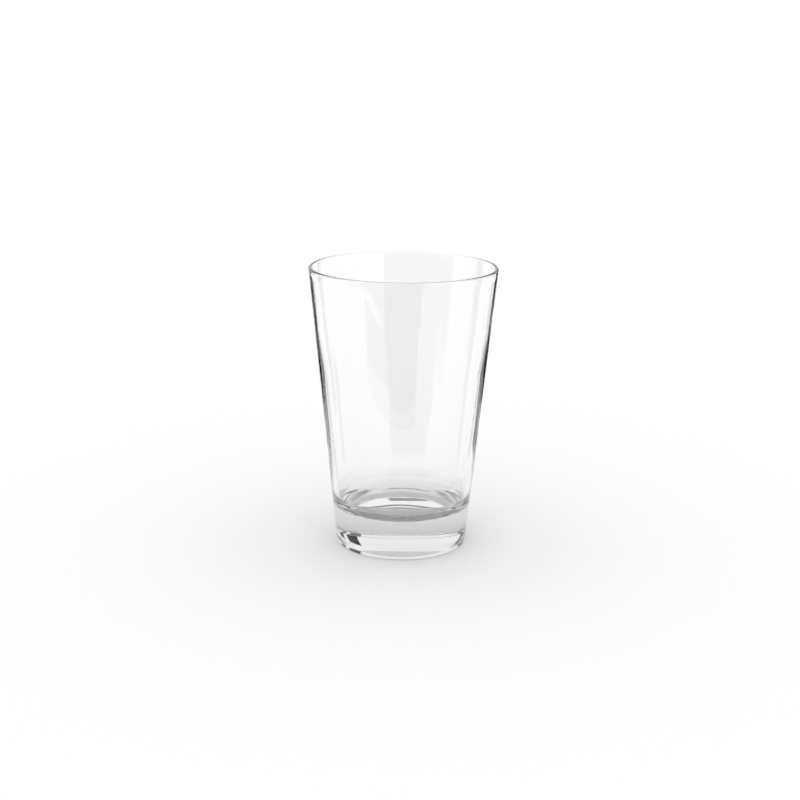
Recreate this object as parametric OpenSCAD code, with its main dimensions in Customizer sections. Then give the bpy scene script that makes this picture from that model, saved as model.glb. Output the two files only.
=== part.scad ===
// Pint glass: one piece of clear soda-lime glass, pressed in a mould and fire-polished at the rim.
// It stands on its foot at z = 0, with its axis on +Z and its mouth at the top.

/* [Outside] */
// Height from the table to the top of the rim
glass_h = 132.6; // [100:0.1:180]
// Outside diameter of the mouth, where the side wall would meet the top
rim_d = 88; // [75:0.5:110]
// Outside diameter of the foot, where the side wall would meet the table
foot_d = 62; // [50:0.5:72]
// Radius of the rounded heel between the side wall and the foot
heel_r = 0.6; // [0.5:0.1:3]

/* [Wall and rim] */
// Thickness of the fire-polished rim, which is fully rounded
rim_t = 1.8; // [1.8:0.1:4]
// Height of the rim bead, down to where the wall is thinnest
bead_h = 4; // [3:0.5:8]
// Wall thickness just below the rim bead
wall_top_t = 1.5; // [1.2:0.1:1.8]
// Height down to which the wall stays thin
thin_z = 96; // [88:1:110]
// Wall thickness at that height
thin_t = 1.6; // [1.4:0.1:2]
// Height below which the wall is thick
thick_z = 74; // [50:1:80]
// Wall thickness at that height
thick_t = 2.4; // [2:0.1:2.8]
// Wall thickness at the lower end, where the inside starts to curve into the floor
wall_low_t = 2.8; // [2:0.1:5]

/* [Base] */
// Height of the inside floor above the table, which is the thickness of the solid base
floor_z = 17; // [8:0.5:30]
// Radius of the curve between the inside wall and the floor
corner_r = 9; // [3:0.5:14]
// Width of the flat ring that the glass rests on
rest_w = 7; // [2:0.5:8]
// Height of the shallow hollow under the base, at its centre
hollow_h = 1.8; // [0.5:0.1:4]

/* [Hidden] */
$fn = 96;

rim_r = rim_t / 2;
// Growth of the outside radius for each millimetre of height, and the same as an angle
flare = (rim_d - foot_d) / 2 / glass_h;
flare_a = atan(flare);

// Outside radius of the side wall at a height
function outer_r(z) = foot_d / 2 + flare * z;

// Distance from the axis of a circle of radius r, centred at height z, that touches the side wall
function touching_x(r, z) = outer_r(z) - r / cos(flare_a);

// Centres of the heel circle and of the rim circle
heel_c = [touching_x(heel_r, heel_r), heel_r];
rim_c = [touching_x(rim_r, glass_h - rim_r), glass_h - rim_r];

// The inside wall, from under the bead down to the height at which the floor curve is centred
bead_z = glass_h - bead_h;
corner_z = floor_z + corner_r;
inner_top = [outer_r(bead_z) - wall_top_t, bead_z];
inner_thin = [outer_r(thin_z) - thin_t, thin_z];
inner_thick = [outer_r(thick_z) - thick_t, thick_z];
inner_low = [outer_r(corner_z) - wall_low_t, corner_z];
draft_a = atan((inner_thick.x - inner_low.x) / (inner_thick.y - inner_low.y));
// Centre of the floor curve, and the point where it meets the inside wall
corner_c = [inner_low.x - corner_r / cos(draft_a), corner_z];
corner_end = corner_c + corner_r * [cos(draft_a), -sin(draft_a)];

// The hollow under the base is a cap of a large ball
hollow_x = heel_c.x - rest_w;
hollow_ball_r = (hollow_x * hollow_x + hollow_h * hollow_h) / (2 * hollow_h);

// Half of the outside outline: foot, heel, side wall and the outer half of the rim
module outside_outline() {
    polygon([
        [0, 0],
        [heel_c.x, 0],
        heel_c + heel_r * [cos(flare_a), -sin(flare_a)],
        rim_c + rim_r * [cos(flare_a), -sin(flare_a)],
        rim_c + rim_r * [-cos(flare_a), sin(flare_a)],
        [0, glass_h - rim_r],
    ]);
    translate(heel_c) circle(r = heel_r);
    translate(rim_c) circle(r = rim_r);
}

// Half of the inside outline, carried past the top of the glass so that it cuts the mouth open
module inside_outline() {
    inner_rim = rim_c - [rim_r, 0];
    polygon([
        [-1, floor_z],
        [corner_c.x, floor_z],
        corner_end,
        inner_thick,
        inner_thin,
        inner_top,
        inner_rim,
        [inner_rim.x, glass_h - rim_r],
        [rim_c.x - rim_r, glass_h + 1],
        [-1, glass_h + 1],
    ]);
    translate(corner_c) circle(r = corner_r);
}

// The whole glass: floor, wall and rim are zones of one continuous piece
module pint_glass() {
    color([0.86, 0.90, 0.90, 0.45])
    difference() {
        rotate_extrude()
        difference() {
            outside_outline();
            inside_outline();
        }
        translate([0, 0, hollow_h - hollow_ball_r]) sphere(r = hollow_ball_r);
    }
}

pint_glass();
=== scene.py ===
import math

import bpy
import numpy as np
from mathutils import Matrix, Vector


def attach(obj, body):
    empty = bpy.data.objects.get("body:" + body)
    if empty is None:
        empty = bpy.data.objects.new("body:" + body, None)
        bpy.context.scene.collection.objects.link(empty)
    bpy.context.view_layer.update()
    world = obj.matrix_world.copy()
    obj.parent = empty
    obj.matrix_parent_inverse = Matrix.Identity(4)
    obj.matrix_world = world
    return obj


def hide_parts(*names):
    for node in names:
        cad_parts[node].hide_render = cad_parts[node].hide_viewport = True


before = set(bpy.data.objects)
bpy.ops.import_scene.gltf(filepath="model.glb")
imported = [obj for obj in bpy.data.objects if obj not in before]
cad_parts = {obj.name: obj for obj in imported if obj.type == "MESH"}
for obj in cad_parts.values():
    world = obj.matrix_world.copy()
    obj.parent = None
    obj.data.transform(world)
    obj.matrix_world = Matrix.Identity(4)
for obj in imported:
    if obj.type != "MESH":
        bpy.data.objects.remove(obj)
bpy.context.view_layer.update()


# The camera: a 64 mm lens about 0.65 m in front of the glass and 0.11 m above its rim, looking down at
# it by 15 degrees. It is held very slightly off level.

camera_at = Vector((-0.00105, -0.6503, 0.2437))
look_down = math.radians(15.07)
off_level = 0.0096

ahead = Vector((0, math.cos(look_down), -math.sin(look_down)))
level = Vector((1, 0, 0))
upward = level.cross(ahead)
side = level * math.cos(off_level) + upward * math.sin(off_level)
top = upward * math.cos(off_level) - level * math.sin(off_level)

lens = bpy.data.cameras.new("camera")
lens.sensor_width = 36
lens.lens = 64.06
lens.clip_start = 0.01
lens.clip_end = 50
camera = bpy.data.objects.new("camera", lens)
camera.matrix_world = Matrix.Translation(camera_at) @ Matrix((side, top, -ahead)).transposed().to_4x4()
bpy.context.collection.objects.link(camera)
bpy.context.scene.camera = camera


# The studio light: an even white dome. Black cards stand on the table round the glass, as they do when
# clear glass is lit, and a dark cloth stands behind the camera. The glass bends and mirrors them. They
# are hidden from the camera, though some stand inside its view, and they throw no shade on the floor.

world = bpy.data.worlds.new("white_dome")
bpy.context.scene.world = world
world.use_nodes = True
dome = world.node_tree.nodes["Background"]
dome.inputs["Color"].default_value = (1, 1, 1, 1)
dome.inputs["Strength"].default_value = 1.06


def plain_finish(name, kind, tone):
    """A grey finish made of one shader, either a glowing one or a matt one."""
    finish = bpy.data.materials.new(name)
    finish.use_nodes = True
    nodes = finish.node_tree.nodes
    nodes.clear()
    shader = nodes.new(kind)
    shader.inputs["Color"].default_value = (tone, tone, tone, 1)
    surface = nodes.new("ShaderNodeOutputMaterial")
    finish.node_tree.links.new(shader.outputs[0], surface.inputs["Surface"])
    return finish


def flat_sheet(name, corners, finish):
    """A flat sheet with four corners and one finish."""
    mesh = bpy.data.meshes.new(name)
    mesh.from_pydata(corners, [], [(0, 1, 2, 3)])
    mesh.materials.append(finish)
    sheet = bpy.data.objects.new(name, mesh)
    bpy.context.collection.objects.link(sheet)
    return sheet


def standing_sheet(name, start, end, height, tone):
    """An upright sheet on the floor between two points of the plan, unseen by the camera itself."""
    corners = [(*start, 0), (*end, 0), (*end, height), (*start, height)]
    sheet = flat_sheet(name, corners, plain_finish(name, "ShaderNodeEmission", tone))
    sheet.visible_camera = False
    sheet.visible_diffuse = False


# Each sheet: its name, its two ends in plan and its height, in metres, and its tone. The left card is
# set edge-on to a view from the front right.
sheets = [
    ("left_card", (-0.12, 0.12), (-0.06, 0.06), 0.13, 0.01),
    ("right_card", (0.1, 0.22), (0.17, 0.22), 0.16, 0.01),
    ("right_near_card", (0.075, 0.1), (0.11, 0.1), 0.06, 0.01),
    ("near_card", (-0.16, -0.16), (0.05, -0.16), 0.055, 0.02),
    ("low_card", (-0.35, -0.28), (0.11, -0.28), 0.09, 0.02),
    ("far_left_card", (-0.7, 0.27), (-0.7, 0.45), 0.3, 0.02),
    ("far_front_card", (-0.7, -0.45), (-0.7, -0.27), 0.3, 0.02),
    ("dark_cloth", (-1.3, -0.85), (0.42, -0.85), 1.0, 0.02),
]
for sheet_facts in sheets:
    standing_sheet(*sheet_facts)


# The glass: one piece of clear soda-lime glass, pressed in a mould and fire-polished at the rim, with
# a thick solid base. It stands on a narrow ring round a shallow hollow.

mm = 0.001
glass_h = 132.6
rim_d = 88.0
foot_d = 62.0
heel_r = 0.6
rim_r = 0.9
bead_h = 4.0
# Pairs of height and wall thickness, from the floor curve up to the rim bead
wall_line = [(26.0, 2.8), (74.0, 2.4), (96.0, 1.6), (128.6, 1.5)]
floor_z = 17.0
corner_r = 9.0
rest_w = 7.0
hollow_h = 1.8
# The changes of wall thickness are smoothed over this height each way, and the last stretch above the
# floor curve is eased onto it over the second height
smooth_h = 9
ease_h = 12

flare = (rim_d - foot_d) / 2 / glass_h
flare_a = math.atan(flare)


def outer_r(z):
    """The outside radius at a height: it grows evenly from the foot to the rim."""
    return foot_d / 2 + flare * z


def arc(centre, radius, start, stop, count):
    """Points on a circle from one angle to another, in degrees, as rows of (radius, height)."""
    turn = np.radians(np.linspace(start, stop, count))
    return np.stack([centre[0] + radius * np.cos(turn), centre[1] + radius * np.sin(turn)], axis=-1)


heel_c = (outer_r(heel_r) - heel_r / math.cos(flare_a), heel_r)
rim_z = glass_h - rim_r
rim_c = (outer_r(rim_z) - rim_r / math.cos(flare_a), rim_z)
tilt = math.degrees(flare_a)
bead_z = glass_h - bead_h
corner_z = floor_z + corner_r
(low_z, wall_low_t), (thick_z, thick_t) = wall_line[:2]
draft = flare + (wall_low_t - thick_t) / (thick_z - low_z)
draft_a = math.atan(draft)
corner_c = (outer_r(corner_z) - wall_low_t - corner_r / math.cos(draft_a), corner_z)
hollow_x = heel_c[0] - rest_w
hollow_ball_r = (hollow_x ** 2 + hollow_h ** 2) / (2 * hollow_h)


def lathe_line():
    """The outline of the glass in (radius, height) pairs, in mm. It runs from the middle of the
    underside, round the heel, up the outside, over the rim and down the inside to the floor."""
    x = np.linspace(0, hollow_x, 70)
    hollow = np.stack([x, np.sqrt(hollow_ball_r ** 2 - x * x) + hollow_h - hollow_ball_r], axis=-1)
    x = np.linspace(hollow_x, heel_c[0], 8)[1:]
    rest = np.stack([x, np.zeros(len(x))], axis=-1)
    heel = arc(heel_c, heel_r, -90, -tilt, 14)[1:]
    z = np.linspace(heel[-1, 1], rim_c[1] + rim_r * math.sin(-flare_a), 60)[1:-1]
    outside = np.stack([outer_r(z), z], axis=-1)
    rim = arc(rim_c, rim_r, -tilt, 180 - tilt, 24)
    z = np.linspace(rim[-1, 1], corner_c[1] - corner_r * math.sin(draft_a), 120)[1:]
    heights, thicknesses = np.transpose(wall_line)
    nearby = z[:, None] + np.linspace(-smooth_h, smooth_h, 25)
    wall = np.interp(nearby, heights, thicknesses).mean(axis=1)
    x = outer_r(z) - wall
    ease = np.clip(1 - (z - z[-1]) / ease_h, 0, 1) ** 2
    x = x + (corner_c[0] + corner_r * math.cos(draft_a) - x[-1]) * ease
    share = np.clip((z - bead_z) / (rim[-1, 1] - bead_z), 0, 1)
    share = share * share * (3 - 2 * share)
    x = x * (1 - share) + (rim[-1, 0] + flare * (z - rim[-1, 1])) * share
    inside = np.stack([x, z], axis=-1)
    corner = arc(corner_c, corner_r, -math.degrees(draft_a), -90, 26)[1:]
    x = np.linspace(corner_c[0], 0, 36)[1:]
    floor = np.stack([x, np.full(len(x), floor_z)], axis=-1)
    return np.concatenate([hollow, rest, heel, outside, rim, inside, corner, floor])


def turned(name, line, count):
    """A closed surface of revolution: the point at (r, z) and turn t lies at (r sin t, -r cos t, z)."""
    turn = np.linspace(0, 2 * math.pi, count, endpoint=False)[:, None]
    r, z = line[None, 1:-1, 0], line[None, 1:-1, 1]
    grid = np.stack([r * np.sin(turn), -r * np.cos(turn), z + 0 * turn], axis=-1)
    rows = grid.shape[1]
    poles = [[0, 0, line[0, 1]], [0, 0, line[-1, 1]]]
    points = np.concatenate([grid.reshape(-1, 3), poles]) * mm
    here = np.arange(count)[:, None] * rows + np.arange(rows - 1)
    there = (np.arange(count)[:, None] + 1) % count * rows + np.arange(rows - 1)
    quads = np.stack([here, there, there + 1, here + 1], axis=-1).reshape(-1, 4)
    first = np.arange(count) * rows
    after = np.roll(first, -1)
    low = np.stack([np.full(count, count * rows), after, first], axis=-1)
    high = np.stack([np.full(count, count * rows + 1), first + rows - 1, after + rows - 1], axis=-1)
    mesh = bpy.data.meshes.new(name)
    mesh.from_pydata(points.tolist(), [], quads.tolist() + low.tolist() + high.tolist())
    mesh.polygons.foreach_set("use_smooth", np.ones(len(mesh.polygons), bool))
    mesh.update()
    piece = bpy.data.objects.new(name, mesh)
    bpy.context.collection.objects.link(piece)
    return piece


pint = turned("clear_glass", lathe_line(), 256)


class Wire:
    """One output of a shader node. A sum on wires adds Math nodes, so 1 - mask can be written."""

    def __init__(self, tree, socket):
        self.tree = tree
        self.socket = socket

    @staticmethod
    def add(tree, kind, settings, inputs, output=0):
        """A new node of a kind: its settings go in first, then its values and links."""
        node = tree.nodes.new(kind)
        for name, value in settings.items():
            setattr(node, name, value)
        for name, value in inputs.items():
            if isinstance(value, Wire):
                tree.links.new(value.socket, node.inputs[name])
            else:
                node.inputs[name].default_value = value
        return Wire(tree, node.outputs[output])

    def maths(self, operation, *values):
        inputs = dict(enumerate(values))
        return Wire.add(self.tree, "ShaderNodeMath", {"operation": operation}, inputs)

    def __add__(self, other):
        return self.maths("ADD", self, other)

    def __sub__(self, other):
        return self.maths("SUBTRACT", self, other)

    def __rsub__(self, other):
        return self.maths("SUBTRACT", other, self)

    def __mul__(self, other):
        return self.maths("MULTIPLY", self, other)

    __radd__ = __add__
    __rmul__ = __mul__

    def step(self, low, high):
        """0 below low, 1 above high, and a smooth rise between them."""
        settings = {"interpolation_type": "SMOOTHSTEP"}
        inputs = {0: self, 1: low, 2: high}
        return Wire.add(self.tree, "ShaderNodeMapRange", settings, inputs)


glass_ior = 1.52
# The faint flow of pressed glass: waves about 2 cm long. Their height is the one that the full strength
# would give, and they have a quarter of it.
flow_scale = 45
flow_height = 0.00025
flow_strength = 0.25
# The scuffs that tables leave on the resting ring
grit_scale = 1400
grit_low = 0.45
grit_high = 0.62
scuff_rough = 0.3
scuff_fade_w = 0.0004
scuff_low_z = 0.0001
scuff_high_z = 0.0005
# The grey that a great depth of glass takes on
tint_tone = 0.1
tint_density = 4.0

glass = bpy.data.materials.new("clear_glass")
glass.use_nodes = True
tree = glass.node_tree
shine = tree.nodes["Principled BSDF"]
shine.inputs["Base Color"].default_value = (1, 1, 1, 1)
shine.inputs["Transmission Weight"].default_value = 1
shine.inputs["IOR"].default_value = glass_ior
place = Wire.add(tree, "ShaderNodeTexCoord", {}, {}, "Object")
x, y, z = [Wire.add(tree, "ShaderNodeSeparateXYZ", {}, {"Vector": place}, axis) for axis in "XYZ"]

flow = Wire.add(tree, "ShaderNodeTexNoise", {}, {"Vector": place, "Scale": flow_scale, "Detail": 1}, "Fac")
bump = {"Height": flow, "Strength": flow_strength, "Distance": flow_height}
bent = Wire.add(tree, "ShaderNodeBump", {}, bump)
tree.links.new(bent.socket, shine.inputs["Normal"])

grit = Wire.add(tree, "ShaderNodeTexNoise", {}, {"Vector": place, "Scale": grit_scale, "Detail": 3}, "Fac")
square = x * x + y * y
from_axis = square.maths("SQRT", square)
outside_hollow = from_axis.step(hollow_x * mm - scuff_fade_w, hollow_x * mm)
ring = outside_hollow * (1 - z.step(scuff_low_z, scuff_high_z))
scuffed = ring * grit.step(grit_low, grit_high) * scuff_rough
tree.links.new(scuffed.socket, shine.inputs["Roughness"])

tint = tree.nodes.new("ShaderNodeVolumeAbsorption")
tint.inputs["Color"].default_value = (tint_tone, tint_tone, tint_tone, 1)
tint.inputs["Density"].default_value = tint_density
tree.links.new(tint.outputs[0], tree.nodes["Material Output"].inputs["Volume"])
pint.data.materials.append(glass)

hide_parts("pint_glass")
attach(pint, "root")


# The floor: a plain matt white table top under the glass. It is the same all over, and the only shade on
# it is the one that the glass itself throws round its foot.

floor_half = 3.0
floor_gap = 0.0002
floor_white = 0.95
corners = [(-1, -1), (1, -1), (1, 1), (-1, 1)]
points = [(a * floor_half, b * floor_half, -floor_gap) for a, b in corners]
table = flat_sheet("floor", points, plain_finish("white_table", "ShaderNodeBsdfDiffuse", floor_white))

# Light that crosses a glass meets many surfaces, so its paths may be long
scene = bpy.context.scene
scene.view_settings.view_transform = "Standard"
scene.cycles.max_bounces = 32
scene.cycles.transmission_bounces = 32
scene.cycles.glossy_bounces = 16
scene.cycles.use_denoising = True
scene.cycles.denoiser = "OPENIMAGEDENOISE"
